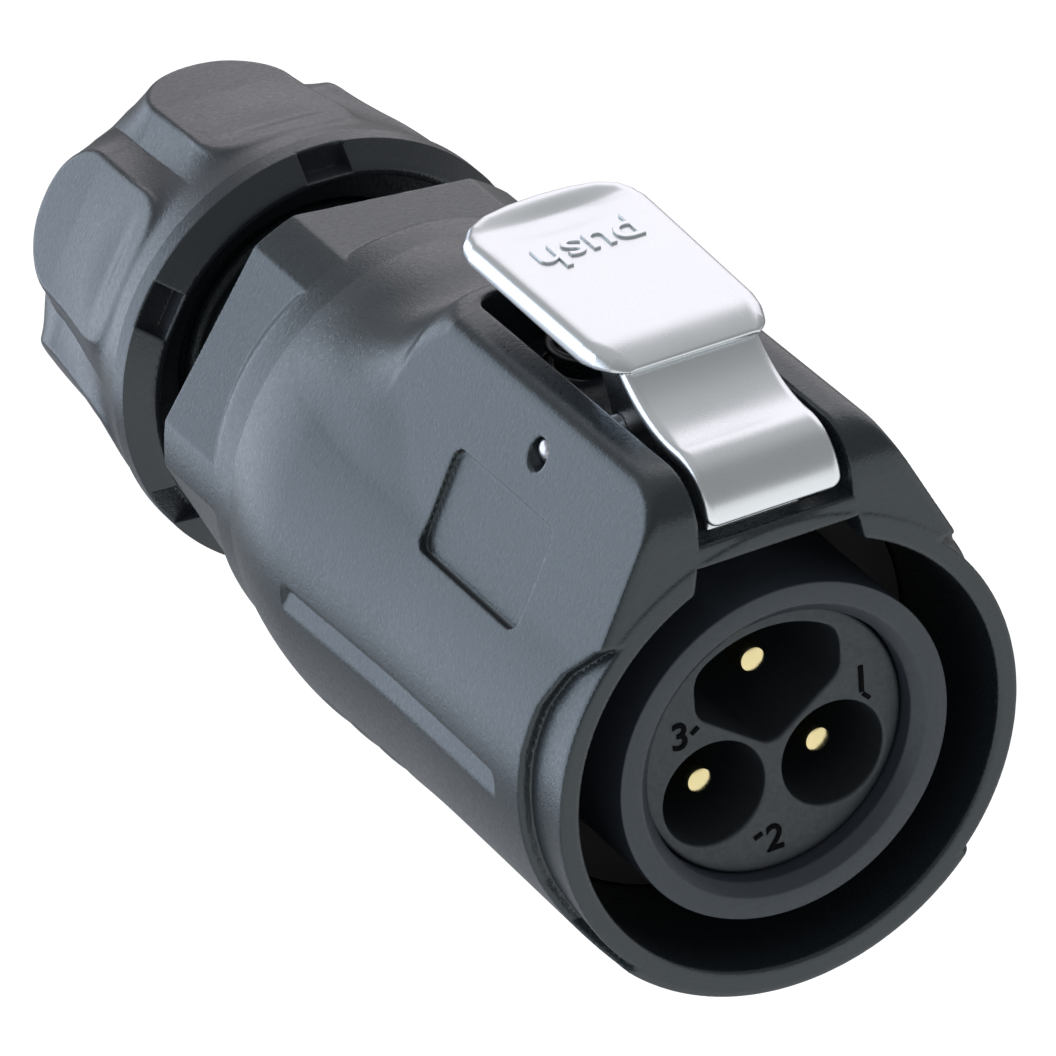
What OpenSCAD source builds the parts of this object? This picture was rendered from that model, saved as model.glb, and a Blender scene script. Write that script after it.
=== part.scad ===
// Circular cable plug with a push latch, a three-pin insert and a cable gland.
// Millimetres. The axis is Y: the mating face lies at y = 0 and faces -Y, the latch is on the +Z side.

/* [Mouth] */
// Radius of the mouth bore that slides over the socket
mouth_r = 12; // [11.8:0.05:12.1]
// Depth of the mouth to the seat of the insert
mouth_depth = 12.6; // [12.2:0.1:13]
// Outer radius at the front edge
front_r = 13.57; // [13.5:0.01:13.7]
// Bevel on the outer front edge
front_bevel = 0.3; // [0.1:0.05:0.4]
// Bevel on the mouth's edge
mouth_bevel = 0.25; // [0.1:0.05:0.4]
// Width of the key slot in the mouth's roof
key_w = 9.05; // [8.6:0.05:9.4]
// Rise of the key slot's roof over the mouth bore
key_rise = 0.36; // [0.3:0.02:0.44]
// Length of the key slot
key_len = 8.6; // [8:0.1:9.2]

/* [Barrel] */
// Place where the barrel starts to swell
swell_start = 18; // [16:0.5:20]
// Radius where the barrel swells most
swell_r = 14.1; // [13.9:0.05:14.4]
// Place of the greatest swell
swell_y = 29.5; // [29:0.1:30.5]
// Place of the crease where the rounded shoulder ends
crease_y = 36.4; // [36:0.1:37]
// Radius at the crease
crease_r = 13.2; // [13.15:0.01:13.4]
// Length of the band between crease and ramp
band_len = 2.6; // [2.3:0.1:2.9]
// Length of the ramp down to the hexagon's flats
ramp_len = 2.6; // [2.4:0.1:2.8]
// Width of the hexagon across its flats
hex_w = 23.74; // [23.2:0.1:24.2]
// Radius that trims the hexagon's corners
hex_corner_r = 13.13; // [12.9:0.05:13.4]
// Turn of the hexagon about the axis
hex_turn = -5.6; // [-15:0.2:15]
// Rear face of the hexagon
hex_end = 44.8; // [44.4:0.1:45]
// Radius of the wire chamber
chamber_r = 9.5; // [9.48:0.02:10]
// End of the wire chamber
chamber_end = 32; // [31:0.5:33]
// Length of the cone between chamber and neck
throat_len = 4; // [3:0.5:5]

/* [Latch deck] */
// Height of the deck over the axis
deck_z = 17.2; // [17.1:0.05:17.4]
// Distance of the deck's flanks from the axis
flank_d = 13.36; // [13.25:0.01:13.42]
// Lean of the deck's flanks
flank_angle = 27.3; // [26.5:0.1:28]
// Rear edge of the deck
deck_end = 24.4; // [24.2:0.1:25]
// Radius of the deck's front edge
deck_front_r = 3.1; // [2.6:0.1:3.3]
// Radius of the deck's rear corners
deck_corner_r = 2; // [1.5:0.1:2.4]
// Slope behind the deck
deck_slope = 45; // [40:1:50]
// Width of the latch slot
slot_w = 8.6; // [8.4:0.05:8.8]
// Rear end of the latch slot
slot_end = 23.3; // [23:0.1:23.4]
// Radius of the slot's rear corners
slot_corner_r = 1.2; // [0.6:0.1:1.6]
// Roof left between key slot and latch slot
roof_t = 0.94; // [0.85:0.02:0.98]
// Height of the front bar over the key slot's roof
bar_t = 1.24; // [1.1:0.02:1.3]
// Length of the front bar
bar_len = 1.5; // [1.3:0.1:1.7]
// Width of the hook's window
window_w = 6.4; // [6.2:0.1:7]
// Rear end of the hook's window
window_end = 6.2; // [6:0.1:6.6]

/* [Marks on the housing] */
// Length of the label recess on the left flank
label_len = 10.3; // [9:0.1:11]
// Height of the label recess
label_h = 5.75; // [5:0.05:6]
// Depth of the label recess
label_depth = 0.35; // [0.2:0.05:0.5]
// Middle of the label recess along the axis
label_y = 12.55; // [12:0.05:13]
// Middle of the label recess up the flank
label_z = 4.29; // [4:0.05:4.5]
// Width of the side grooves
groove_w = 1.85; // [1.6:0.05:2.2]
// Height of the side grooves' middle
groove_z = -0.15; // [-0.6:0.05:0.2]
// Front end of the side grooves
groove_start = 6.3; // [6:0.1:7]
// Rear end of the side grooves
groove_end = 28.9; // [28:0.1:29.5]
// Distance of the grooves' floors from the middle
groove_x = 13.35; // [13.2:0.05:13.45]
// Depth of the finger recesses at the front edge
finger_depth = 0.4; // [0.25:0.05:0.5]
// Length of the finger recesses
finger_len = 3.4; // [2.6:0.1:3.8]
// Depth of the grip grooves underneath
grip_depth = 0.2; // [0.1:0.05:0.35]
// Radius of the grip grooves' section
grip_r = 3.6; // [3:0.1:4]
// First grip groove along the axis
grip_y = 22; // [21.6:0.1:22.4]
// Distance between grip grooves
grip_step = 2.95; // [2.85:0.05:3.2]
// Height up to which the grip grooves run
grip_top = -6.5; // [-8:0.1:-5]

/* [Latch] */
// Place of the pivot along the axis
pivot_y = 11; // [10.8:0.1:11.2]
// Radius of the pivot pin
pin_r = 0.75; // [0.65:0.05:0.8]
// Half length of the pivot pin
pin_half = 6.5; // [6:0.1:6.7]
// Radius of the lever's hub
hub_r = 1.2; // [1.15:0.05:1.25]
// Width of the tongue
tongue_w = 7.66; // [7.4:0.02:7.7]
// Thickness of the tongue
tongue_t = 1.1; // [0.8:0.05:1.2]
// Radius of the tongue's outward bend
bend_r = 3; // [2.9:0.02:3.02]
// Radius of the tongue's inward bend
sweep_r = 6.9; // [6.8:0.1:7.2]
// Width of the thumb pad at its front lip
pad_front_w = 8.6; // [8.2:0.1:9]
// Width of the thumb pad behind its lip
pad_mid_w = 10; // [9.6:0.1:10.2]
// Width of the thumb pad at its rear
pad_rear_w = 10.4; // [10:0.1:10.8]
// Bow of the pad's rear edge
pad_bow = 1.2; // [0.8:0.1:1.4]
// Front edge of the thumb pad
pad_start = 7.6; // [7.4:0.05:7.8]
// Rear edge of the thumb pad
pad_end = 24.5; // [24:0.1:24.8]
// Space between deck and thumb pad at the rear
pad_gap = 2.7; // [2.5:0.05:2.8]
// Thickness of the thumb pad
pad_t = 1.35; // [1.2:0.05:1.5]
// Radius of the pad's rear corners
pad_corner_r = 3; // [2.4:0.1:3.2]
// Width of the lever's core and hook
core_w = 5.4; // [5:0.1:5.8]
// Reach of the hook below the key slot's roof
hook_reach = 1.15; // [1.05:0.02:1.2]
// Place of the latch spring along the axis
spring_y = 20.4; // [20:0.1:20.6]
// Mean radius of the latch spring
spring_r = 1.5; // [1.45:0.05:1.6]
// Radius of the spring's wire
wire_r = 0.28; // [0.2:0.02:0.3]
// Turns of the spring
spring_turns = 5; // [4:0.5:6]
// Depth of the spring's pocket under the slot
pocket_depth = 1.3; // [1:0.1:1.6]

/* [Insert] */
// Outer radius of the insert's sleeve
sleeve_r = 9.4; // [9.3:0.02:9.42]
// Front face of the sleeve, behind the mouth's edge
sleeve_start = 0.68; // [0.4:0.04:1]
// Rear end of the sleeve
sleeve_end = 21; // [20.5:0.1:22]
// Thickness of the ring that holds the sleeve's flange
ring_t = 1.4; // [1.2:0.1:1.6]
// Thickness of the mating seal
seal_t = 1.6; // [1.4:0.1:1.8]
// Thickness of the sleeve's flange
flange_t = 2.4; // [2.2:0.1:2.6]
// Radius of the sleeve's flange
flange_r = 10.7; // [10.5:0.05:10.9]
// Radius of the contact carrier
carrier_r = 7.45; // [7.35:0.05:7.5]
// Front face of the contact carrier
carrier_start = 2.05; // [1.8:0.05:2.3]
// Place of the carrier's rear flange
carrier_step = 12; // [11.6:0.1:12.2]
// Radius of the carrier's rear flange
carrier_flange_r = 8.2; // [8.1:0.05:8.25]
// Thickness of the carrier's rear flange
carrier_flange_t = 1; // [0.8:0.1:1.2]
// Length of the contact clamp
clamp_len = 7; // [6.6:0.1:7.2]
// Radius of the contacts' circle
contact_circle_r = 3.95; // [3.9:0.01:4]
// Radius of the contact pins
contact_r = 0.75; // [0.6:0.05:0.8]
// Place of the contact tips
contact_start = 3.5; // [3:0.1:4.5]
// Radius of the contacts' barrels
contact_barrel_r = 2.1; // [2:0.02:2.15]
// Length of the contacts' barrels
contact_barrel_len = 14; // [13:0.2:15]
// Radius of the wire holes
wire_hole_r = 1.3; // [1.1:0.05:1.4]
// Depth of the wire holes
wire_hole_depth = 8; // [7:0.2:8.6]
// Radius of the round wells
well_r = 2.9; // [2.8:0.02:2.95]
// Floor of the wells
well_end = 10; // [9:0.1:10.4]
// Half width of the shield-shaped well
shield_x = 4.15; // [4:0.05:4.3]
// Radius of the shield-shaped well's outer edge
shield_r = 6.5; // [6.4:0.05:6.7]
// Radius of the centre screw's shank
screw_r = 0.8; // [0.6:0.05:0.9]
// Radius of the centre screw's head
screw_head_r = 1.5; // [1.3:0.05:1.6]
// Radius of the terminal screws
terminal_r = 0.8; // [0.6:0.05:0.9]

/* [Gland] */
// Outer radius of the threaded neck
neck_r = 8.6; // [8.5:0.05:8.65]
// Bore of the neck
neck_bore_r = 7; // [6.9:0.05:7.1]
// Room in the nut behind the neck's end, for the claw's fingers and the washer
neck_room = 10.2; // [9.8:0.1:10.7]
// Front face of the nut
nut_start = 49; // [48.8:0.1:49.4]
// Rear face of the nut
nut_end = 67.4; // [67:0.1:67.8]
// Greatest radius of the nut's collar
collar_r = 12.76; // [12.6:0.04:12.9]
// Radius where the collar's bevel starts
collar_bevel_r = 11.4; // [11.3:0.05:11.6]
// Length of the collar's bevel
collar_bevel_len = 1.27; // [1:0.05:1.5]
// Radius of the nut between its pads, at the rear
core_r = 9.85; // [9.8:0.05:10]
// Height of the nut's pads at the collar
nut_pad_front = 11.3; // [11.2:0.05:11.4]
// Height of the nut's pads at the rear
nut_pad_rear = 10.7; // [10.5:0.05:10.9]
// Width of the nut's pads
nut_pad_w = 8.3; // [8.2:0.1:8.7]
// Turn of the nut about the axis
nut_turn = -1.2; // [-15:0.1:15]
// Width of the collar's notches
notch_w = 2.7; // [2:0.1:3.2]
// Radius of the cable entry in the nut
entry_r = 6; // [5.8:0.05:6.1]
// Thickness of the nut's rear wall
nut_wall = 2.2; // [2:0.1:2.4]
// Radius of the neck seal's section
neck_seal_r = 0.9; // [0.8:0.05:0.95]
// Bore of the clamping claw
claw_bore_r = 6; // [5.9:0.05:6.1]
// Length of the claw's shank in the neck
claw_shank = 8; // [7:0.2:9]
// Length of the claw's fingers
finger_reach = 3; // [2.6:0.1:3.2]
// Bore of the rubber grommet
grommet_bore_r = 4.2; // [4:0.05:4.5]
// Thickness of the thrust washer
washer_t = 1; // [0.8:0.05:1.1]

/* [Clearances] */
// Gap round fixed pieces that slide in
slip_gap = 0.05; // [0.03:0.01:0.08]
// Running gap of the lever on its pin
pin_gap = 0.05; // [0.03:0.01:0.08]
// Gap between the nut and what it turns on
thread_gap = 0.2; // [0.15:0.01:0.25]

/* [Hidden] */
turn_fn = 96;
hole_fn = 32;
arc_steps = 8;
far = 60;
key_top = mouth_r + key_rise;
slot_floor = key_top + roof_t;
bar_top = key_top + bar_t;
pivot_z = slot_floor + hub_r + 0.2;
seat_end = mouth_depth + flange_t;
ramp_y = crease_y + band_len;
ramp_end = min(ramp_y + ramp_len, hex_end - 0.5);
neck_start = chamber_end + throat_len;
neck_end = nut_end - neck_room;
nut_len = nut_end - nut_start;
deck_low = flank_d*sin(flank_angle);
deck_half = (flank_d - deck_z*sin(flank_angle))/cos(flank_angle);
tongue_end = bar_top + 0.7;
bend_c = [bend_r + 0.05, deck_z + 0.3 - bend_r];
sweep_c = [bend_c[0], deck_z + 0.3 + sweep_r];
pad_bottom = deck_z + pad_gap;
hook_z = key_top - hook_reach;
pocket_floor = slot_floor - pocket_depth;
ring_end = mouth_depth;
ring_start = mouth_depth - ring_t;
seal_start = ring_start - seal_t;
sleeve_bore_r = carrier_r + 0.1;
sleeve_rear_r = carrier_flange_r + slip_gap;
clamp_start = carrier_step + carrier_flange_t;
clamp_end = clamp_start + clamp_len;
contact_end = clamp_start + contact_barrel_len;
seal_section_r = 0.45;
thread_r = neck_r + thread_gap;
washer_end = nut_end - nut_wall - 0.1;
claw_end = neck_end + 1.2 + finger_reach;

// Points of an arc about c, from angle a0 to angle a1
function arc(c, r, a0, a1) =
    [for (i = [0:arc_steps]) c + r*[cos(a0 + (a1 - a0)*i/arc_steps), sin(a0 + (a1 - a0)*i/arc_steps)]];

// Unit vector from p towards q
function way(p, q) = (q - p)/norm(q - p);

// The place of a point that also carries a radius
function place(p) = [p[0], p[1]];

// Points that round the corner b between a and c
function corner(a, b, c, r) =
    let (u = way(b, a), v = way(b, c), h = acos(u*v)/2)
    let (m = b + way([0, 0], u + v)*r/sin(h))
    let (s = b + u*r/tan(h) - m, e = b + v*r/tan(h) - m)
    let (a0 = atan2(s[1], s[0]), a1 = a0 + atan2(s[0]*e[1] - s[1]*e[0], s*e))
    arc(m, r, a0, a1);

// A closed path whose points are [x, y, radius], with each corner rounded by its radius
function rounded(p) =
    let (n = len(p))
    [for (i = [0:n - 1]) each p[i][2] > 0
        ? corner(place(p[(i + n - 1) % n]), place(p[i]), place(p[(i + 1) % n]), p[i][2])
        : [place(p[i])]];

// Radius of the barrel between its straight part and the swell
function barrel_r(y) = front_r + (swell_r - front_r)*(y - swell_start)/(swell_y - swell_start);

// Height of the thumb pad's underside
function pad_under(y) = pad_bottom - 0.06*(pad_end - 1.2 - y);

// Extrudes a front view (X, Z) from y0 to y1
module across(y0, y1) {
    translate([0, y1, 0])
    rotate([90, 0, 0])
    linear_extrude(height = y1 - y0)
    children();
}

// Extrudes a side view (Y, Z) over the width w about the middle
module sideways(w) {
    translate([-w/2, 0, 0])
    rotate([90, 0, 90])
    linear_extrude(height = w)
    children();
}

// Turns a half section (radius, Y) about the axis
module turned() {
    rotate([-90, 0, 0])
    rotate_extrude($fn = turn_fn)
    children();
}

// A plain tube along the axis
module tube(r_in, r_out, y0, y1) {
    turned()
    translate([r_in, y0])
    square([r_out - r_in, y1 - y0]);
}

// A ring of round section about the axis
module o_ring(r, section_r, y) {
    turned()
    translate([r, y])
    circle(r = section_r, $fn = hole_fn);
}

// A round rod along the axis at (x, z)
module rod(x, z, r, y0, y1) {
    translate([x, y1, z])
    rotate([90, 0, 0])
    cylinder(r = r, h = y1 - y0, $fn = hole_fn);
}

// The moulded body of revolution, with its swell and rounded shoulder
module barrel() {
    turned()
    polygon(concat(
        [[0, 0], [front_r - front_bevel, 0], [front_r, front_bevel], [front_r, swell_start]],
        [for (t = [0:0.2:1]) [swell_r - (swell_r - crease_r)*t*t, swell_y + (crease_y - swell_y)*t]],
        [[hex_corner_r - 0.13, ramp_y], [hex_w/2 - 0.7, ramp_end], [0, ramp_end]]
    ));
}

// Everything inside the flank that leans to +X
module inside_flank() {
    rotate([0, -flank_angle, 0])
    translate([flank_d - far, -far/2, -far/2])
    cube([far, far, far]);
}

// Everything in front of a slope behind the deck's rear corner on the +X side
module before_slope(turn) {
    fall = 1/tan(deck_slope);
    translate([deck_half - deck_corner_r, deck_end - deck_corner_r, 0])
    rotate(-turn)
    sideways(2*far)
    polygon([
        [-far, deck_low - 1],
        [deck_corner_r + (deck_z - deck_low + 1)*fall, deck_low - 1],
        [deck_corner_r - fall, deck_z + 1],
        [-far, deck_z + 1]
    ]);
}

// The raised deck that carries the latch
module deck() {
    intersection() {
        sideways(far)
        union() {
            translate([deck_front_r, deck_low])
            square([deck_end + deck_z, deck_z - deck_low]);
            translate([0, deck_low])
            square([deck_end, deck_z - deck_front_r - deck_low]);
            translate([deck_front_r, deck_z - deck_front_r])
            circle(r = deck_front_r, $fn = turn_fn);
        }
        before_slope(0);
        before_slope(30);
        before_slope(60);
        inside_flank();
        mirror([1, 0, 0])
        intersection() {
            before_slope(30);
            before_slope(60);
            inside_flank();
        }
    }
}

// The spanner hexagon, its corners trimmed round
module hexagon() {
    across(swell_y, hex_end)
    rotate(hex_turn)
    intersection() {
        circle(r = hex_w/2/cos(30), $fn = 6);
        circle(r = hex_corner_r, $fn = turn_fn);
    }
}

// The stepped bore from mouth to neck
module bore() {
    turned()
    polygon([
        [0, -1],
        [mouth_r + mouth_bevel + 1, -1],
        [mouth_r, mouth_bevel],
        [mouth_r, mouth_depth],
        [flange_r + slip_gap, mouth_depth],
        [flange_r + slip_gap, seat_end],
        [chamber_r, seat_end],
        [chamber_r, chamber_end],
        [neck_bore_r, neck_start],
        [neck_bore_r, neck_end + 1],
        [0, neck_end + 1]
    ]);
}

// The key slot in the roof of the mouth
module key_slot() {
    across(-1, key_len)
    polygon([
        [-key_w/2 - 0.5, key_top - 2.5],
        [key_w/2 + 0.5, key_top - 2.5],
        [key_w/2, key_top],
        [-key_w/2, key_top]
    ]);
}

// The latch slot with its front opening, the hook's window and the spring's pocket
module latch_slot() {
    translate([0, 0, slot_floor])
    linear_extrude(height = far)
    polygon(rounded([
        [-slot_w/2, bar_len, 0],
        [slot_w/2, bar_len, 0],
        [slot_w/2, slot_end, slot_corner_r],
        [-slot_w/2, slot_end, slot_corner_r]
    ]));
    translate([-slot_w/2, -1, bar_top])
    cube([slot_w, bar_len + 2, far]);
    translate([-window_w/2, bar_len, key_top - 1])
    cube([window_w, window_end - bar_len, roof_t + 2]);
    translate([0, spring_y, pocket_floor])
    cylinder(r = spring_r + wire_r + 0.2, h = pocket_depth + 1, $fn = hole_fn);
}

// The bare recess for a label on the left flank
module label_recess() {
    rotate([0, flank_angle, 0])
    translate([-flank_d - 2, label_y, label_z])
    rotate([90, 0, 90])
    linear_extrude(height = label_depth + 2)
    polygon(rounded([
        [-label_len/2, -label_h/2, 0.8],
        [label_len/2, -label_h/2, 0.8],
        [label_len/2, label_h/2, 0.8],
        [-label_len/2, label_h/2, 0.8]
    ]));
}

// The long groove on the +X side
module side_groove() {
    translate([groove_x, 0, 0])
    rotate([90, 0, 90])
    linear_extrude(height = far)
    polygon(rounded([
        [groove_start, groove_z - groove_w/2, 0.45*groove_w],
        [groove_end, groove_z - groove_w/2, 0],
        [groove_end, groove_z + groove_w/2, 0],
        [groove_start, groove_z + groove_w/2, 0.45*groove_w]
    ]));
}

// The finger recess at the front edge on the +X side
module finger_recess() {
    intersection() {
        turned()
        polygon([
            [front_r - finger_depth + 0.08, -1],
            [front_r - finger_depth - 0.32, finger_len + 0.6],
            [front_r + 3, finger_len + 0.6],
            [front_r + 3, -1]
        ]);
        translate([0.1, 0, 0])
        rotate([90, 0, 90])
        linear_extrude(height = far)
        polygon(rounded([
            [-1, 10.4, 0],
            [-1, -9.4, 0],
            [0.25*finger_len, -8.8, 0],
            [1.15*finger_len, -5.2, 1.6],
            [0.93*finger_len, 6.9, 2.2],
            [0.2*finger_len, 9.1, 0]
        ]));
    }
}

// Shallow grip grooves round the underside
module grip_grooves() {
    intersection() {
        union() {
            for (i = [0:2])
            o_ring(barrel_r(grip_y + i*grip_step) + grip_r - grip_depth, grip_r, grip_y + i*grip_step);
        }
        translate([-far/2, 0, grip_top - far])
        cube([far, far, far]);
    }
}

// The one-piece moulded housing
module housing() {
    color([0.22, 0.23, 0.25])
    difference() {
        union() {
            barrel();
            deck();
            hexagon();
            tube(0, neck_r, hex_end - 1, neck_end);
        }
        bore();
        key_slot();
        latch_slot();
        translate([-far/2, pivot_y, pivot_z])
        rotate([0, 90, 0])
        cylinder(r = pin_r + 0.02, h = far, $fn = hole_fn);
        label_recess();
        for (side = [0, 1])
        mirror([side, 0, 0]) {
            side_groove();
            finger_recess();
        }
        grip_grooves();
    }
}

// The S-shaped tongue, a bent sheet with rounded lower corners
module tongue() {
    intersection() {
        sideways(tongue_w)
        polygon(concat(
            [[bend_c[0] - bend_r, tongue_end]],
            arc(bend_c, bend_r, 180, 90),
            arc(sweep_c, sweep_r, -85, -42),
            arc(sweep_c, sweep_r + tongue_t, -42, -85),
            arc(bend_c, bend_r - tongue_t, 90, 180),
            [[bend_c[0] - bend_r + tongue_t, tongue_end]]
        ));
        across(-1, pad_end)
        polygon(rounded([
            [-tongue_w/2, tongue_end, 0.7],
            [tongue_w/2, tongue_end, 0.7],
            [tongue_w/2, far, 0],
            [-tongue_w/2, far, 0]
        ]));
    }
}

// The thumb pad, wider at the rear, its front rolled down to a thin lip
module pad() {
    roll_r = 5.4;
    roll_y = pad_start + roll_r/2;
    top = pad_under(roll_y) + pad_t + 0.1;
    intersection() {
        sideways(2*pad_rear_w)
        polygon(concat(
            [[pad_start, pad_under(pad_start) + 0.6]],
            arc([roll_y, top - roll_r], roll_r, 120, 90),
            [[pad_end - 1.9, pad_bottom + pad_t - 0.1], [pad_end - 0.6, pad_bottom + pad_t + 0.15]],
            [[pad_end, pad_bottom + pad_t - 0.25], [pad_end, pad_bottom + 0.6], [pad_end - 0.9, pad_bottom]],
            [[pad_start + 2.9, pad_under(pad_start + 2.9)]]
        ));
        linear_extrude(height = far)
        polygon(rounded([
            [-pad_front_w/2, pad_start, 0.3],
            [pad_front_w/2, pad_start, 0.3],
            [pad_mid_w/2, pad_start + 2.4, 3],
            [pad_rear_w/2, pad_end - pad_bow, pad_corner_r],
            [0, pad_end, 8],
            [-pad_rear_w/2, pad_end - pad_bow, pad_corner_r],
            [-pad_mid_w/2, pad_start + 2.4, 3]
        ]));
    }
}

// Hub, web and hook under the tongue and pad
module lever_core() {
    sideways(core_w)
    union() {
        polygon([
            [2.6, hook_z],
            [4.2, hook_z],
            [5, hook_z + 0.9],
            [5, bar_top + 0.5],
            [pivot_y - 0.8, bar_top + 0.5],
            [pivot_y + 1, pivot_z],
            [pivot_y + 3, pad_under(pivot_y + 3) + 0.4],
            [pad_start + 0.9, deck_z + 2],
            [5.2, deck_z + 0.15],
            [bend_c[0], deck_z - 0.2],
            [2.2, deck_z - 0.9]
        ]);
        translate([pivot_y, pivot_z])
        circle(r = hub_r, $fn = hole_fn);
    }
    translate([0, spring_y, pad_under(spring_y) - 0.9])
    cylinder(r = spring_r - wire_r - 0.2, h = 1.4, $fn = hole_fn);
}

// The cast latch lever
module latch_lever() {
    color([0.8, 0.81, 0.83])
    difference() {
        union() {
            tongue();
            pad();
            lever_core();
        }
        translate([-far/2, pivot_y, pivot_z])
        rotate([0, 90, 0])
        cylinder(r = pin_r + pin_gap, h = far, $fn = hole_fn);
    }
}

// The cross pin that the lever turns on
module latch_pin() {
    color([0.7, 0.7, 0.72])
    translate([-pin_half, pivot_y, pivot_z])
    rotate([0, 90, 0])
    cylinder(r = pin_r, h = 2*pin_half, $fn = hole_fn);
}

// The coil spring between pocket and pad
module latch_spring() {
    sides = 8;
    rings = 16*spring_turns;
    low = pocket_floor + wire_r;
    rise = pad_under(spring_y - spring_r) - 0.1 - wire_r - low;
    points = [for (i = [0:rings])
        let (turn = 360*i/16)
        for (k = [0:sides - 1])
        let (r = spring_r + wire_r*cos(360*k/sides))
        [r*cos(turn), spring_y + r*sin(turn), low + rise*i/rings + wire_r*sin(360*k/sides)]];
    skin = [for (i = [0:rings - 1])
        for (k = [0:sides - 1])
        [i*sides + k, (i + 1)*sides + k, (i + 1)*sides + (k + 1) % sides, i*sides + (k + 1) % sides]];
    first = [for (k = [0:sides - 1]) k];
    last = [for (k = [sides - 1:-1:0]) rings*sides + k];
    color([0.62, 0.63, 0.65])
    polyhedron(points = points, faces = concat(skin, [first, last]), convexity = 10);
}

// The sleeve that the socket slides into the mouth over
module insert_sleeve() {
    color([0.3, 0.31, 0.33])
    turned()
    polygon([
        [sleeve_bore_r, sleeve_start + 0.62],
        [sleeve_bore_r + 0.65, sleeve_start],
        [sleeve_r - 0.1, sleeve_start],
        [sleeve_r, sleeve_start + 0.1],
        [sleeve_r, mouth_depth],
        [flange_r, mouth_depth],
        [flange_r, seat_end],
        [sleeve_r, seat_end],
        [sleeve_r, seat_end + 2],
        [sleeve_r - 2*seal_section_r, seat_end + 2],
        [sleeve_r - 2*seal_section_r, seat_end + 3.2],
        [sleeve_r, seat_end + 3.2],
        [sleeve_r, sleeve_end],
        [sleeve_rear_r, sleeve_end],
        [sleeve_rear_r, carrier_step],
        [sleeve_bore_r, carrier_step]
    ]);
}

// The ring that keeps the sleeve's flange on its seat
module insert_retaining_ring() {
    color([0.33, 0.34, 0.36])
    tube(sleeve_r + slip_gap, mouth_r, ring_start, ring_end);
}

// The rubber ring that the socket's collar presses on
module mating_seal() {
    color([0.07, 0.07, 0.08])
    tube(sleeve_r + slip_gap, mouth_r - 0.1, seal_start, ring_start);
}

// The ring that seals the sleeve in the housing
module insert_o_ring() {
    color([0.07, 0.07, 0.08])
    o_ring(sleeve_r - seal_section_r, seal_section_r, seat_end + 2.6);
}

// The shield-shaped well over the upper contact
module shield_outline() {
    intersection() {
        circle(r = shield_r, $fn = turn_fn);
        polygon(rounded([
            [0, -0.3, 1.1],
            [shield_x, 2.7, 1.2],
            [shield_x, 5.4, 1],
            [2.4, 9, 0],
            [-2.4, 9, 0],
            [-shield_x, 5.4, 1],
            [-shield_x, 2.7, 1.2]
        ]));
    }
}

// The front half of the insulator, with a well round each contact
module contact_carrier() {
    color([0.28, 0.29, 0.31])
    difference() {
        union() {
            tube(0, carrier_r, carrier_start, clamp_start);
            tube(0, carrier_flange_r, carrier_step, clamp_start);
        }
        across(carrier_start - 1, well_end)
        shield_outline();
        for (i = [1, 2])
        rotate([0, 120*i, 0])
        rod(0, contact_circle_r, well_r, carrier_start - 1, well_end);
        for (i = [0:2])
        rotate([0, 120*i, 0])
        rod(0, contact_circle_r, contact_r + slip_gap, well_end - 1, clamp_start + 1);
        rod(0, 0, screw_r + slip_gap, clamp_start - 2.4, clamp_start + 1);
    }
}

// The rear half of the insulator, which holds the contacts' barrels
module contact_clamp() {
    color([0.24, 0.25, 0.27])
    difference() {
        tube(0, carrier_flange_r, clamp_start, clamp_end);
        for (i = [0:2])
        rotate([0, 120*i, 0])
        rod(0, contact_circle_r, contact_barrel_r + slip_gap, clamp_start - 1, clamp_end + 1);
        rod(0, 0, screw_r + slip_gap, clamp_start - 1, clamp_end + 1);
    }
}

// The centre screw through both halves
module insert_screw() {
    color([0.72, 0.72, 0.74])
    difference() {
        union() {
            rod(0, 0, screw_r, clamp_start - 2.2, clamp_end + 0.5);
            rod(0, 0, screw_head_r, clamp_end, clamp_end + 1.4);
        }
        translate([-0.25, clamp_end + 0.7, -far/2])
        cube([0.5, 2, far]);
    }
}

// One contact: a gilt pin with a screw barrel for the wire
module contact(i) {
    color([0.85, 0.68, 0.3])
    rotate([0, 120*i, 0])
    translate([0, 0, contact_circle_r])
    difference() {
        turned()
        polygon([
            [0, contact_start],
            [contact_r - 0.2, contact_start],
            [contact_r, contact_start + 0.3],
            [contact_r, clamp_start],
            [contact_barrel_r, clamp_start],
            [contact_barrel_r, contact_end],
            [wire_hole_r, contact_end],
            [wire_hole_r, contact_end - wire_hole_depth],
            [0, contact_end - wire_hole_depth - 0.6]
        ]);
        translate([0, contact_end - 3, 0])
        cylinder(r = terminal_r + slip_gap, h = far, $fn = hole_fn);
    }
}

module contact_1() {
    contact(0);
}

module contact_2() {
    contact(1);
}

module contact_3() {
    contact(2);
}

// The three screws that clamp the wires
module terminal_screws() {
    color([0.72, 0.72, 0.74])
    for (i = [0:2])
    rotate([0, 120*i, 0])
    translate([0, contact_end - 3, contact_circle_r + wire_hole_r - 0.1])
    difference() {
        cylinder(r = terminal_r, h = 1.5, $fn = hole_fn);
        translate([-0.2, -2, 1])
        cube([0.4, 4, 1]);
    }
}

// The seal on the neck behind the hexagon
module neck_o_ring() {
    color([0.06, 0.06, 0.07])
    o_ring(neck_r + neck_seal_r, neck_seal_r, hex_end + neck_seal_r);
}

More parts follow.
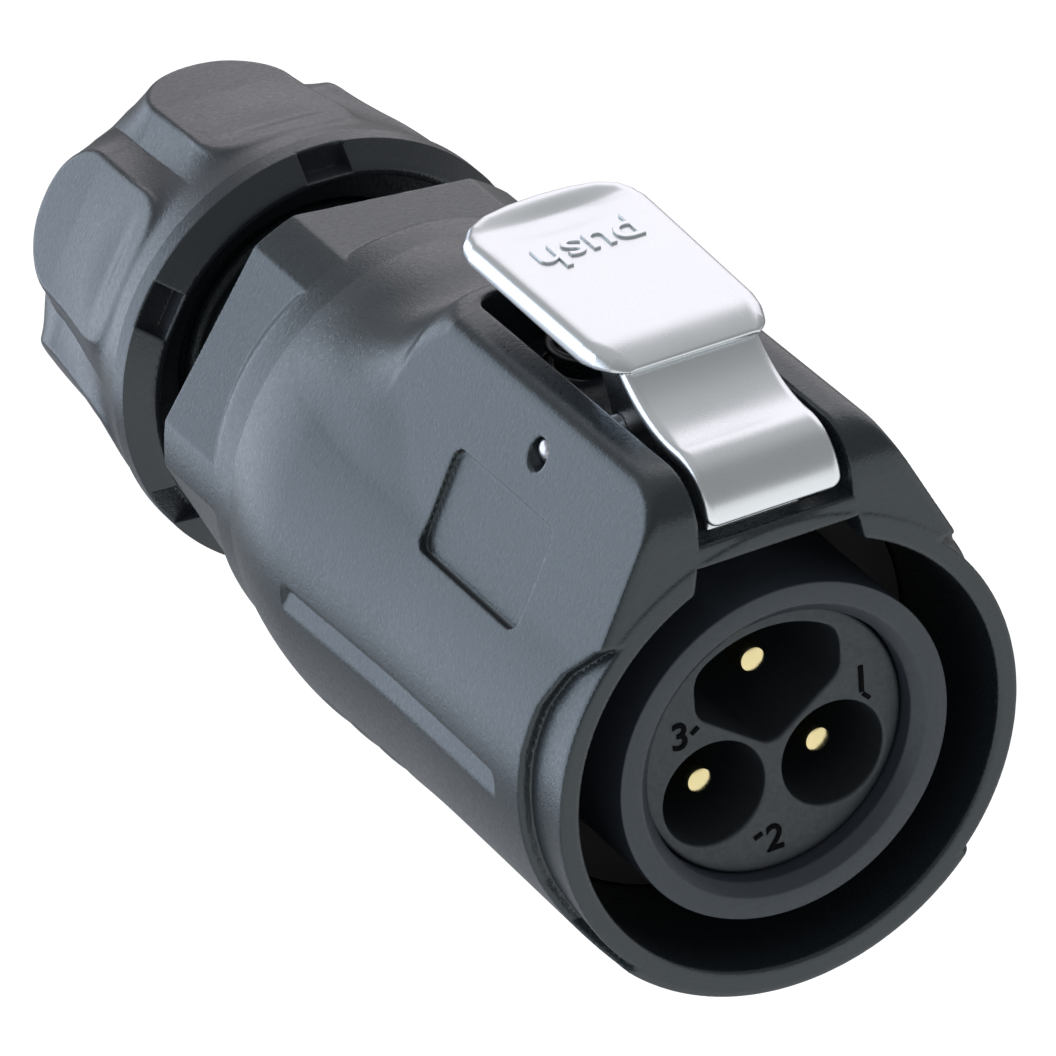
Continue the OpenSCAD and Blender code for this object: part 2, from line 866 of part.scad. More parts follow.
// The slotted claw that the nut closes on the cable
module gland_claw() {
    color([0.42, 0.43, 0.45])
    difference() {
        turned()
        polygon([
            [claw_bore_r, neck_end - claw_shank],
            [neck_bore_r - slip_gap, neck_end - claw_shank],
            [neck_bore_r - slip_gap, neck_end],
            [neck_r - 0.3, neck_end],
            [neck_r - 0.3, neck_end + 1.2],
            [neck_r - 0.7, neck_end + 1.2],
            [claw_bore_r + 0.9, claw_end],
            [claw_bore_r, claw_end]
        ]);
        for (i = [0:2])
        rotate([0, 60*i, 0])
        translate([-far/2, neck_end + 1.4, -0.6])
        cube([far, far, 1.2]);
    }
}

// The rubber sleeve inside the claw
module gland_grommet() {
    color([0.09, 0.09, 0.1])
    tube(grommet_bore_r, claw_bore_r - slip_gap, neck_end - claw_shank + 1, claw_end - 0.4);
}

// The slip washer that rides in the nut
module thrust_washer() {
    color([0.66, 0.67, 0.69])
    tube(entry_r + 0.2, neck_r - 0.25, washer_end - washer_t, washer_end);
}

// One of the nut's six thumb pads, on the +Z side, before its flat is cut
module nut_pad() {
    pad_y = nut_end - 0.9 - nut_pad_w/2;
    pad_front = nut_start + 0.363*nut_len;
    linear_extrude(height = collar_r)
    union() {
        translate([-nut_pad_w/2, pad_front])
        square([nut_pad_w, pad_y - pad_front]);
        translate([0, pad_y])
        circle(r = nut_pad_w/2, $fn = turn_fn);
    }
}

// What is cut away over a thumb pad to leave its flat and the ramp in front of it
module nut_flat() {
    sideways(2*nut_pad_front*tan(30))
    polygon([
        [nut_start + 0.357*nut_len, nut_pad_front],
        [nut_end + 1, nut_pad_rear],
        [nut_end + 1, far],
        [nut_start + 0.247*nut_len, far],
        [nut_start + 0.247*nut_len, nut_pad_front + 1.6]
    ]);
}

// The gland nut: flared collar, six thumb pads, notched bevel
module gland_nut() {
    color([0.24, 0.25, 0.27])
    rotate([0, -nut_turn, 0])
    difference() {
        union() {
            turned()
            polygon([
                [0, nut_start],
                [collar_bevel_r, nut_start],
                [collar_r, nut_start + collar_bevel_len],
                [collar_r, nut_start + 2.5],
                [nut_pad_front, nut_start + 0.467*nut_len],
                [core_r + 0.3, nut_start + 0.703*nut_len],
                [core_r, nut_end - 1.6],
                [core_r - 0.7, nut_end],
                [0, nut_end]
            ]);
            for (i = [0:5])
            rotate([0, 60*i, 0])
            nut_pad();
        }
        turned()
        polygon([
            [0, nut_start - 1],
            [collar_bevel_r - 0.4, nut_start - 1],
            [collar_bevel_r - 0.4, nut_start + 2.5],
            [thread_r, nut_start + 2.5],
            [thread_r, nut_end - nut_wall],
            [entry_r, nut_end - nut_wall],
            [entry_r, nut_end - 0.4],
            [entry_r + 1.4, nut_end + 1],
            [0, nut_end + 1]
        ]);
        for (i = [0:5])
        rotate([0, 60*i, 0]) {
            nut_flat();
            translate([-notch_w/2, nut_start - 1, collar_bevel_r - 0.1])
            cube([notch_w, collar_bevel_len + 1.05, far]);
        }
    }
}

housing();
latch_lever();
latch_pin();
latch_spring();
insert_sleeve();
insert_retaining_ring();
mating_seal();
insert_o_ring();
contact_carrier();
contact_clamp();
insert_screw();
contact_1();
contact_2();
contact_3();
terminal_screws();
neck_o_ring();
gland_claw();
gland_grommet();
thrust_washer();
gland_nut();
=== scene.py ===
"""Circular cable plug with a push latch: its looks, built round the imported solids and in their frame."""
import math

import bmesh
import bpy
import numpy as np
from mathutils import Matrix, Vector


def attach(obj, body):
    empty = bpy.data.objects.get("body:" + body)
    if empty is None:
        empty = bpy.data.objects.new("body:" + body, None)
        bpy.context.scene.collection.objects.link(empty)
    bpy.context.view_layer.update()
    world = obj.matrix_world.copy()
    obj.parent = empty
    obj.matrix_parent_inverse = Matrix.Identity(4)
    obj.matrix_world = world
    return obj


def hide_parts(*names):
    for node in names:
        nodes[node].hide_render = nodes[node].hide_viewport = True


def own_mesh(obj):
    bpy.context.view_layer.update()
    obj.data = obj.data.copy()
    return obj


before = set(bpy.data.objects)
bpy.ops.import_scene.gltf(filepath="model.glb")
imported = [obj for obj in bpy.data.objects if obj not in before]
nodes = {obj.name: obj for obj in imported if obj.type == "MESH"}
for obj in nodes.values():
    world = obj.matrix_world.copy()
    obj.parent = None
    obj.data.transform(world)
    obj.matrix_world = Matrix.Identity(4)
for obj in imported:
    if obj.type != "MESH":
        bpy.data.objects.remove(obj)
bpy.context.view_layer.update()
MM = 0.001

# Sizes in millimetres, those of the solids where they have them. The axis is Y, the latch is on the +Z side.
# "past" values lie beyond an end or the middle, so that a cut runs clear of it.
past_axis, past_middle, past_end = -5, -1, 2

# The turned body with its hexagon and threaded neck
mouth_r, mouth_depth, seat_r, seat_end = 12.0, 12.6, 10.75, 15
front_r, swell_start, swell_r, swell_y = 13.57, 18.0, 14.1, 29.5
crease_y, crease_r, band_slope = 36.4, 13.2, 0.077
ramp_y, ramp_slope, ramp_stretch, ramp_end = 39.0, 0.7, 1.22, 42
hex_half, hex_corner_r, hex_turn, hex_end = 11.87, 13.0, -5.6, 44.8
chamber_r, chamber_end, neck_start = 9.5, 32.0, 36.0
neck_r, neck_bore_r, neck_end, pitch, thread_after, thread_deep = 8.6, 7.0, 57.2, 1.5, 2.4, 0.45

# The latch deck, how it fades into the shoulder, its slot, its window into the mouth and the spring's pocket
deck_z, deck_end, deck_tail, deck_front_r = 17.2, 24.4, 35, 3.1
flank_d, flank_angle, flank_lean, flank_lean_y = 13.36, math.radians(27.3), 0.08, 28
fall_early, fall_soft, ease_after, ease_slope = 0.1, 0.9, 2.9, 0.38
deck_corner, corner_growth, corner_early, corner_len = 0.9, 2.6, 2.5, 3
blend_least, blend_growth, blend_y, blend_len, blend_z, blend_high = 0.12, 1.4, 18, 8, 7.5, 4
slot_half, slot_half_len, slot_end, slot_floor, slot_corner = 4.3, 15, 23.3, 13.3, 1.2
bar_top, bar_len, window_half, window_end = 13.6, 1.5, 3.2, 6.2
key_half, key_top, key_low, key_len, key_lean = 4.525, 12.36, 9, 8.6, 0.2
spring_y, pocket_r, pocket_deep = 20.4, 1.98, 1.3

# Marks on the barrel: label, long grooves, finger recesses (their edge in y and z) and grip waves
label_y, label_up, label_half_y, label_half_up, label_deep = 12.55, 4.29, 5.15, 2.875, 0.35
groove_y, groove_z, groove_half_y, groove_half_z, groove_deep, groove_tilt = 17.6, -0.15, 11.3, 0.925, 0.23, 0.315
recess_r, recess_taper, recess_draft = 13.17, 0.08, 0.12
recess_edge = [
    (-2, 10.4), (-2, -9.6), (0.9, -8.9), (2.9, -7), (3.6, -4.6), (3.55, 3), (3.2, 5.6), (2.3, 7.6), (0.7, 9.2)]
grip_count, grip_y, grip_pitch, grip_r, grip_out, grip_top = 3, 22, 2.95, 3.6, 3.4, -6.6

# The latch: an S-shaped tongue, a thumb pad (half its plan, in x and y) and the hub with the hook (in y and z)
pivot_y, pivot_z, pin_r, pin_play, hub_play, hub_r, hub_half = 11.0, 14.7, 0.75, 0.02, 0.05, 1.2, 2.7
bend_y, bend_z, bend_r, sweep_z, sweep_r = 3.05, 14.5, 2.45, 24.4, 7.45
tongue_front, tongue_foot, tongue_foot_half, tongue_end = 0.6, 14.3, 0.2, 9.5
tongue_half, tongue_half_thick, tongue_mid_z, tongue_half_z = 3.83, 0.55, 24.3, 10
roll_y, roll_z, roll_r, pad_rise, pad_front = 10.3, 15.17, 5.4, 0.045, 7.6
dish_y, dish_half_x, dish_half_y, dish_deep, lip_y, lip_len, lip_high = 21.6, 3.6, 1.25, 0.24, 22.2, 1.4, 0.22
under_z, under_y, under_slope, under_front_y, under_front_slope = 19.9, 23.3, 0.06, 10.6, 0.2
pad_plan = [
    (past_middle, 5), (4.0, 5), (4.1, 7.6), (4.45, 8.3), (4.8, 9.3), (4.98, 10.4), (5.2, 21.7), (5.0, 22.6),
    (4.4, 23.35), (3.3, 23.95), (1.7, 24.3), (0, 24.4), (past_middle, 24.4)]
hub_side = [
    (2.6, 11.21), (4.2, 11.21), (5, 12.1), (5, 14.1), (10.2, 14.1), (12, 14.7), (14, 19.6), (8.7, 19.4),
    (5.2, 17.2), (3.05, 16.9), (2.2, 16.2)]
boss_r, boss_low, boss_high = 0.6, 18.85, 20.2

# The gland nut: stations as parts of its length, six thumb pads and a notched collar
nut_start, nut_end, collar_r, core_r = 49.0, 67.4, 12.76, 9.85
collar_face_r, collar_bevel, collar_len, skirt_r = 11.4, 1.27, 2.5, 11.0
slope_part, waist_part, flat_part, pad_part = 0.467, 0.703, 0.357, 0.3
nut_pad_front, nut_pad_rear, nut_pad_half, nut_pad_half_len = 11.3, 10.7, 4.15, 8
nut_pad_inset, nut_pad_draft, nut_turn = 0.9, 0.5, math.radians(-1.2)
slope_out, slope_along = 0.62, 0.78
nut_bore_r, entry_r, entry_flare_r, entry_len, entry_flare = 8.8, 6.0, 7.4, 2.2, 0.4
notch_half, notch_r, notch_len = 1.35, 11.3, 1.32

# The insert: sleeve, contact carrier with two round wells and a shield (half its edge, in x and z), contacts
sleeve_r, sleeve_start, sleeve_end, flange_r = 9.4, 0.68, 21, 10.7
carrier_r, carrier_start, carrier_end, foot_r, foot_start = 7.45, 2.05, 13, 8.2, 12
well_r, well_end, shield_rim_r = 2.9, 10.0, 6.5
shield_edge = [
    (past_middle, -0.04), (0.2, -0.03), (0.45, 0.05), (0.65, 0.17), (3.65, 2.34), (3.86, 2.54), (4.02, 2.77),
    (4.12, 3.03), (4.15, 3.31), (4.15, 5.17), (4.05, 5.6), (2.4, 9), (past_middle, 9)]
contact_circle_r, contact_r, contact_start, contact_play = 3.95, 0.75, 3.5, 0.05
screw_r, screw_start = 0.85, 10.6


# Fields: each takes arrays x, y, z in millimetres and is negative inside the piece.
# The last number in a call of joined, common or without is the width of the fillet or rounding.

def joined(a, b, k):
    """Two fields as one, with a fillet about k wide"""
    h = np.maximum(k - np.abs(a - b), 0)
    return np.minimum(a, b) - h*h/(4*k)


def common(a, b, k):
    """Where both fields are, with an edge rounded about k wide"""
    return -joined(-a, -b, k)


def without(a, b, k):
    """The first field less the second, with an edge rounded about k wide"""
    return -joined(-a, b, k)


def within(v, low, high):
    return np.abs(v - (low + high)/2) - (high - low)/2


def rounded_box(u, v, half_u, half_v, r):
    """A rectangle with round corners, seen in two directions"""
    du = np.abs(u) - half_u + r
    dv = np.abs(v) - half_v + r
    return np.hypot(np.maximum(du, 0), np.maximum(dv, 0)) + np.minimum(np.maximum(du, dv), 0) - r


def outline(u, v, points):
    """Signed distance to a closed outline, seen in two directions"""
    best = np.full(u.shape, 1e9, np.float32)
    inside = np.zeros(u.shape, bool)
    for (au, av), (bu, bv) in zip(points, points[1:] + points[:1]):
        eu, ev = bu - au, bv - av
        wu, wv = u - au, v - av
        t = np.clip((wu*eu + wv*ev)/(eu*eu + ev*ev), 0, 1)
        best = np.minimum(best, (wu - eu*t)**2 + (wv - ev*t)**2)
        if av != bv:
            inside ^= ((v >= av) != (v >= bv)) & (u < au + (v - av)*eu/ev)
    return np.where(inside, -1, 1)*np.sqrt(best)


def arc_line(u, v, centre, r, low, high):
    """Distance to an arc of a circle, from angle low to angle high in degrees"""
    mid, half = math.radians(low + high)/2, math.radians(high - low)/2
    pu, pv = u - centre[0], v - centre[1]
    cu = pu*math.cos(mid) + pv*math.sin(mid)
    cv = np.abs(pv*math.cos(mid) - pu*math.sin(mid))
    beside = np.hypot(cu - r*math.cos(half), cv - r*math.sin(half))
    return np.where(np.arctan2(cv, cu) < half, np.abs(np.hypot(cu, cv) - r), beside)


def ramp(v, soft):
    """Zero below zero, rising at one to one above it, with a soft bend"""
    return (v + np.sqrt(v*v + soft*soft))/2


def barrel_r(y):
    """Radius of the turned body: straight, swelling, then a rounded shoulder, a band and a ramp to the hexagon"""
    swell = (swell_r - front_r)/(swell_y - swell_start)
    r = front_r + swell*(ramp(y - swell_start, 2.0) - ramp(y - swell_y, 2.0))
    t = np.clip((y - swell_y)/(crease_y - swell_y), 0, 1)
    r = r - (swell_r - crease_r)*t*t
    return r - band_slope*np.clip(y - crease_y, 0, ramp_y - crease_y) - ramp_slope*ramp(y - ramp_y, 0.3)


def screw_thread(x, y, z, r, depth):
    """A round thread: distance from its wavy surface"""
    phase = np.arctan2(z, x) + 2*math.pi*y/pitch
    return np.hypot(x, z) - r + depth*(0.5 + 0.5*np.cos(phase))


def deck_field(side, y, z):
    """The latch deck: leaning flanks, a flat top with a round nose, and a tail that falls away behind the slot"""
    flank = side*math.cos(flank_angle) + z*math.sin(flank_angle) - flank_d + flank_lean*ramp(y - flank_lean_y, 2.0)
    past = y - deck_end + fall_early
    fall = ramp(past, fall_soft) - ease_slope*ramp(past - ease_after, 2.0)
    top = z - deck_z + fall
    top = top/np.sqrt(1 + np.clip(past, 0, 1))
    ahead, above = deck_front_r - y, z - deck_z + deck_front_r
    nose = np.hypot(np.maximum(ahead, 0), np.maximum(above, 0)) - deck_front_r
    nose = np.where((ahead > 0) & (above > 0), nose, np.maximum(-y, z - deck_z))
    corner = deck_corner + corner_growth*np.clip((y - deck_end + corner_early)/corner_len, 0, 1)
    deck = common(common(flank, top, corner), nose, 0.5)
    return np.maximum(np.maximum(deck, flank_d*math.sin(flank_angle) - z), y - deck_tail)


def housing_field(x, y, z):
    r = np.hypot(x, z)
    side = np.abs(x)
    barrel = np.maximum((r - barrel_r(y))/np.where(y > ramp_y, ramp_stretch, 1), y - ramp_end)
    late, high = np.clip((y - blend_y)/blend_len, 0, 1), np.clip((z - blend_z)/blend_high, 0, 1)
    blend = blend_least + blend_growth*late*late*(3 - 2*late)*high*high*(3 - 2*high)
    body = joined(barrel, deck_field(side, y, z), blend)
    body = common(body, -y, 0.5)
    angles = [math.radians(30 + 60*i + hex_turn) for i in range(3)]
    flats = np.max([np.abs(x*math.cos(a) + z*math.sin(a)) for a in angles], axis=0) - hex_half
    hexagon = common(common(flats, r - hex_corner_r, 0.06), within(y, swell_y, hex_end), 0.16)
    body = joined(body, hexagon, 0.06)
    thread = np.where(y > hex_end + thread_after, screw_thread(x, y, z, neck_r, thread_deep), r - neck_r)
    neck = common(thread, within(y, hex_end - past_end, neck_end), 0.6)
    body = joined(body, neck, 0.3)
    bore = outline(r, y, [
        (past_axis, -past_end), (mouth_r, -past_end), (mouth_r, mouth_depth), (seat_r, mouth_depth),
        (seat_r, seat_end), (chamber_r, seat_end), (chamber_r, chamber_end), (neck_bore_r, neck_start),
        (neck_bore_r, neck_end + past_end), (past_axis, neck_end + past_end)])
    key = np.maximum(z - key_top, side - key_half - (key_top - z)*key_lean)
    key = np.maximum(key, np.maximum(y - key_len, key_low - z))
    body = without(body, joined(bore, key, 0.15), 0.35)
    plan = rounded_box(x, y - slot_end + slot_half_len, slot_half, slot_half_len, slot_corner)
    slot = np.maximum(np.maximum(plan, slot_floor - z), bar_len - y)
    slot = np.minimum(slot, np.maximum(plan, bar_top - z))
    window = np.maximum(side - window_half, within(y, bar_len, window_end))
    window = np.maximum(window, within(z, key_top - 1, slot_floor + 1))
    pocket = np.maximum(np.hypot(x, y - spring_y) - pocket_r, within(z, slot_floor - pocket_deep, slot_floor + 1))
    hole = np.hypot(y - pivot_y, z - pivot_z) - pin_r - pin_play
    body = without(body, slot, 0.3)
    body = without(body, np.minimum(np.minimum(window, pocket), hole), 0.16)
    out = z*math.sin(flank_angle) - x*math.cos(flank_angle)
    up = x*math.sin(flank_angle) + z*math.cos(flank_angle)
    label = rounded_box(y - label_y, up - label_up, label_half_y, label_half_up, 0.8)
    body = without(body, common(label, flank_d - label_deep - out, 0.15), 0.1)
    depth = barrel_r(y) - r
    groove = (rounded_box(y - groove_y, z - groove_z, groove_half_y, groove_half_z, 0.7) + depth)*0.7
    groove_floor = barrel_r(y) - groove_deep - groove_tilt*(z - groove_z) - side
    body = without(body, common(groove, groove_floor, 0.1), 0.12)
    recess = common(outline(y, z, recess_edge) + recess_draft*depth, recess_r - recess_taper*y - r, 0.12)
    body = without(body, recess, 0.3)
    grips = [np.hypot(r - barrel_r(y) - grip_out, y - grip_y - grip_pitch*i) - grip_r for i in range(grip_count)]
    return without(body, common(np.min(grips, axis=0), z - grip_top, 0.5), 0.1)


def pad_top(x, y):
    """Height of the thumb pad's upper face, with its rolled front, finger dish and raised rear lip"""
    rolled = roll_z + np.sqrt(np.maximum(roll_r**2 - np.minimum(y - roll_y, 0)**2, 0))
    level = rolled + np.maximum(y - roll_y, 0)*pad_rise
    dish = np.exp(-((x/dish_half_x)**2 + ((y - dish_y)/dish_half_y)**2)**1.5)
    lip = np.clip((y - lip_y)/lip_len, 0, 1)
    return level - dish_deep*dish + lip_high*lip*lip*(3 - 2*lip)


def latch_field(x, y, z):
    side = np.abs(x)
    bend = arc_line(y, z, (bend_y, bend_z), bend_r, 90, 180)
    sweep = arc_line(y, z, (bend_y, sweep_z), sweep_r, -90, -40)
    foot = np.hypot(y - tongue_front, np.maximum(np.abs(z - tongue_foot) - tongue_foot_half, 0))
    path = np.minimum(np.minimum(bend, sweep), foot)
    edge = rounded_box(x, z - tongue_mid_z, tongue_half, tongue_half_z, 0.7)
    tongue = common(path - tongue_half_thick, edge, 0.55)
    tongue = np.maximum(tongue, y - tongue_end)
    under = under_z - under_slope*(under_y - y) + under_front_slope*ramp(under_front_y - y, 0.6)
    pad = common(common(outline(side, y, pad_plan), z - pad_top(x, y), 0.9), under - z, 0.35)
    pad = common(pad, pad_front - y, 0.08)
    pivot = np.hypot(y - pivot_y, z - pivot_z)
    hub = np.minimum(outline(y, z, hub_side), pivot - hub_r)
    hub = common(hub, side - hub_half, 0.4)
    boss = np.maximum(np.hypot(x, y - spring_y) - boss_r, within(z, boss_low, boss_high))
    lever = joined(joined(tongue, pad, 0.1), joined(hub, boss, 0.2), 0.12)
    return without(lever, pivot - pin_r - hub_play, 0.1)


def nut_field(x, y, z):
    c, s = math.cos(nut_turn), math.sin(nut_turn)
    u, v = x*c + z*s, z*c - x*s
    r = np.hypot(u, v)
    sixth = math.pi/3
    turn = np.arctan2(u, v)
    turn = turn - sixth*np.round(turn/sixth)
    across, out = r*np.sin(turn), r*np.cos(turn)
    length = nut_end - nut_start
    core = outline(r, y, [
        (past_axis, nut_start), (collar_face_r, nut_start), (collar_r, nut_start + collar_bevel),
        (collar_r, nut_start + collar_len), (nut_pad_front, nut_start + slope_part*length),
        (core_r + 0.3, nut_start + waist_part*length), (core_r, nut_end - 1.6), (core_r - 0.7, nut_end),
        (past_axis, nut_end)])
    behind = y - nut_start - flat_part*length
    flat = out - nut_pad_front + behind*(nut_pad_front - nut_pad_rear)/((1 - flat_part)*length + 1)
    slope = (out - nut_pad_front)*slope_out + behind*slope_along
    shape = rounded_box(across, y - nut_end + nut_pad_inset + nut_pad_half_len, nut_pad_half, nut_pad_half_len,
                        nut_pad_half - 0.05)
    shape = (shape - nut_pad_draft*np.clip(-flat, 0, 2))*0.9
    scoop = common(-flat, -slope, 0.6)
    pad = common(common(shape, nut_start + pad_part*length - y, 2.5), flat, 0.3)
    body = common(joined(without(core, scoop, 0.3), pad, 1.8), within(y, nut_start, nut_end), 0.3)
    bore = outline(r, y, [
        (past_axis, nut_start - past_end), (skirt_r, nut_start - past_end), (skirt_r, nut_start + collar_len),
        (nut_bore_r, nut_start + collar_len), (nut_bore_r, nut_end - entry_len), (entry_r, nut_end - entry_len),
        (entry_r, nut_end - entry_flare), (entry_flare_r, nut_end + 1), (past_axis, nut_end + 1)])
    body = without(body, bore, 0.25)
    notch = np.maximum(np.maximum(np.abs(across) - notch_half, notch_r - out), y - nut_start - notch_len)
    return without(body, notch, 0.12)


def contact_spot(i):
    """Where a contact stands, in x and z: the first is on top"""
    a = 2*math.pi*i/3
    return contact_circle_r*math.sin(a), contact_circle_r*math.cos(a)


def carrier_field(x, y, z):
    r = np.hypot(x, z)
    body = common(r - carrier_r, within(y, carrier_start, carrier_end), 0.2)
    body = np.minimum(body, common(r - foot_r, within(y, foot_start, carrier_end), 0.15))
    shield = common(outline(np.abs(x), z, shield_edge), r - shield_rim_r, 0.7)
    well_x = contact_circle_r*math.sin(2*math.pi/3)
    wells = np.min([np.hypot(x - s*well_x, z + contact_circle_r/2) - well_r for s in (-1, 1)], axis=0)
    wells = np.maximum(np.minimum(wells, shield), y - well_end)
    body = without(body, wells, 0.22)
    for i in range(3):
        spot = contact_spot(i)
        body = np.maximum(body, contact_r + contact_play - np.hypot(x - spot[0], z - spot[1]))
    return np.maximum(body, np.minimum(screw_r - r, y - screw_start))


# Meshes

most_tris = 190000


def slope_at(field, points, step=0.02):
    """A field's gradient at some points"""
    grad = np.empty_like(points)
    for k in range(3):
        ahead, behind = points.copy(), points.copy()
        ahead[:, k] += step
        behind[:, k] -= step
        grad[:, k] = (field(*ahead.T) - field(*behind.T))/(2*step)
    return grad


def settled(field, points, reach, rounds=4):
    """Points moved on to the field's surface"""
    start = points.copy()
    for _ in range(rounds):
        grad = slope_at(field, points)
        size = np.maximum((grad*grad).sum(1), 0.05)
        points = points - grad*(field(*points.T)/size)[:, None]
        points = start + np.clip(points - start, -reach, reach)
    return points


def unit(vectors):
    return vectors/np.maximum(np.linalg.norm(vectors, axis=1), 1e-9)[:, None]


def edge_points(field, centres, step):
    """For cells on an edge, the point where the planes of the faces round it meet"""
    square = np.zeros((len(centres), 3, 3))
    side = np.zeros((len(centres), 3))
    middle = np.zeros((len(centres), 3))
    for corner in np.ndindex(2, 2, 2):
        spot = settled(field, centres + (np.array(corner) - 0.5)*0.8*step, step, 3)
        normal = unit(slope_at(field, spot))
        square += normal[:, :, None]*normal[:, None, :]
        side += normal*(normal*spot).sum(1)[:, None]
        middle += spot/8
    pull = 0.15
    meet = np.linalg.solve(square + pull*np.eye(3), (side + pull*middle)[:, :, None])[:, :, 0]
    return centres + np.clip(meet - centres, -0.6*step, 0.6*step)


def piece_from(name, verts, faces):
    mesh = bpy.data.meshes.new(name)
    mesh.from_pydata(verts, [], faces)
    mesh.validate()
    piece = bpy.data.objects.new(name, mesh)
    bpy.context.scene.collection.objects.link(piece)
    return piece


def plain_mesh(piece):
    """The piece with its modifiers worked into its mesh"""
    bpy.context.view_layer.update()
    mesh = bpy.data.meshes.new_from_object(piece.evaluated_get(bpy.context.evaluated_depsgraph_get()))
    piece.modifiers.clear()
    piece.data = mesh
    return piece


def cast(name, field, low, high, step):
    """The surface of a field in a box, as a mesh with steps of that size, thinned to at most most_tris triangles"""
    axes = [np.arange(a, b + step, step, dtype=np.float32) for a, b in zip(low, high)]
    inside = np.empty([len(a) for a in axes], bool)
    for i in range(0, len(axes[0]), 16):
        inside[i:i + 16] = field(*np.meshgrid(axes[0][i:i + 16], axes[1], axes[2], indexing="ij")) < 0
    n = np.array(inside.shape) - 1
    count = sum(inside[a:a + n[0], b:b + n[1], c:c + n[2]].astype(np.uint8) for a, b, c in np.ndindex(2, 2, 2))
    mixed = (count > 0) & (count < 8)
    index = np.full(mixed.shape, -1, np.int64)
    index[mixed] = np.arange(mixed.sum())
    centres = np.argwhere(mixed)*step + np.array([a[0] for a in axes], float) + step/2
    points = settled(field, centres, step)
    faces = []
    for k in range(3):
        u, v = (k + 1) % 3, (k + 2) % 3
        cut_first = [slice(1, -1)]*3
        cut_second = [slice(1, -1)]*3
        cut_first[k], cut_second[k] = slice(0, -1), slice(1, None)
        first, second = inside[tuple(cut_first)], inside[tuple(cut_second)]
        edge = np.argwhere(first != second)
        outward = first[tuple(edge.T)]
        ring = []
        for du, dv in ((0, 0), (1, 0), (1, 1), (0, 1)):
            cell = edge.copy()
            cell[:, u] += du
            cell[:, v] += dv
            ring.append(index[tuple(cell.T)])
        quad = np.stack(ring, 1)
        quad[~outward] = quad[~outward][:, ::-1]
        faces.append(quad)
    faces = np.concatenate(faces)
    normal = unit(slope_at(field, points))
    pairs = ((0, 2), (1, 3), (0, 1), (2, 3))
    turned = np.min([(normal[faces[:, a]]*normal[faces[:, b]]).sum(1) for a, b in pairs], axis=0)
    level = 0.94
    edge = np.unique(faces[turned < level])
    points[edge] = edge_points(field, centres[edge], step)
    piece = piece_from(name, (points*MM).tolist(), faces.tolist())
    if 2*len(faces) > most_tris:
        thin = piece.modifiers.new("thin", "DECIMATE")
        thin.ratio = most_tris/(2*len(faces))
        plain_mesh(piece)
    mesh = piece.data
    place = np.empty(3*len(mesh.vertices), np.float32)
    mesh.vertices.foreach_get("co", place)
    points = settled(field, place.reshape(-1, 3).astype(float)/MM, step/2, 2)
    mesh.vertices.foreach_set("co", (points*MM).astype(np.float32).ravel())
    mesh.polygons.foreach_set("use_smooth", np.ones(len(mesh.polygons), bool))
    loops = np.empty(len(mesh.loops), np.int32)
    mesh.loops.foreach_get("vertex_index", loops)
    start, total = np.empty(len(mesh.polygons), np.int32), np.empty(len(mesh.polygons), np.int32)
    mesh.polygons.foreach_get("loop_start", start)
    mesh.polygons.foreach_get("loop_total", total)
    owner = np.repeat(np.arange(len(total)), total)
    centre = np.add.reduceat(points[loops], start)/total[:, None]
    inward = points[loops] + 0.3*(centre[owner] - points[loops])
    mesh.update()
    mesh.normals_split_custom_set(unit(slope_at(field, inward, 0.05)).tolist())
    return piece


def lathe(name, profile, about=(0, 0), segments=192, soft=0.0):
    """A closed profile of (radius, y) turned about an axis along Y, its edges softened"""
    rings = len(profile)
    verts, faces = [], []
    for i in range(segments):
        a = 2*math.pi*i/segments
        verts += [((about[0] + r*math.sin(a))*MM, y*MM, (about[1] + r*math.cos(a))*MM) for r, y in profile]
        j = (i + 1) % segments
        for k in range(rings):
            m = (k + 1) % rings
            faces.append((i*rings + k, i*rings + m, j*rings + m, j*rings + k))
    piece = piece_from(name, verts, faces)
    shaped = bmesh.new()
    shaped.from_mesh(piece.data)
    bmesh.ops.remove_doubles(shaped, verts=shaped.verts, dist=1e-7)
    bmesh.ops.dissolve_degenerate(shaped, edges=shaped.edges, dist=1e-8)
    bmesh.ops.recalc_face_normals(shaped, faces=shaped.faces)
    shaped.to_mesh(piece.data)
    shaped.free()
    if soft:
        edge = piece.modifiers.new("edge", "BEVEL")
        edge.width, edge.segments = soft*MM, 3
        edge.limit_method, edge.angle_limit = "ANGLE", math.radians(25)
        plain_mesh(piece)
    smooth(piece)
    return piece


def smooth(piece, angle=30):
    """Smooth shading, with hard edges where faces meet at more than the angle"""
    mesh = piece.data
    mesh.polygons.foreach_set("use_smooth", np.ones(len(mesh.polygons), bool))
    mesh.set_sharp_from_angle(angle=math.radians(angle))


# Finishes

class Socket:
    """A node's output: arithmetic on it adds Math nodes"""

    def __init__(self, finish, socket):
        self.finish, self.socket = finish, socket

    def math(self, operation, a, b):
        return self.finish.node("ShaderNodeMath", {"operation": operation}, {0: a, 1: b})

    def __add__(self, other):
        return self.math("ADD", self, other)

    def __sub__(self, other):
        return self.math("SUBTRACT", self, other)

    def __rsub__(self, other):
        return self.math("SUBTRACT", other, self)

    def __mul__(self, other):
        return self.math("MULTIPLY", self, other)


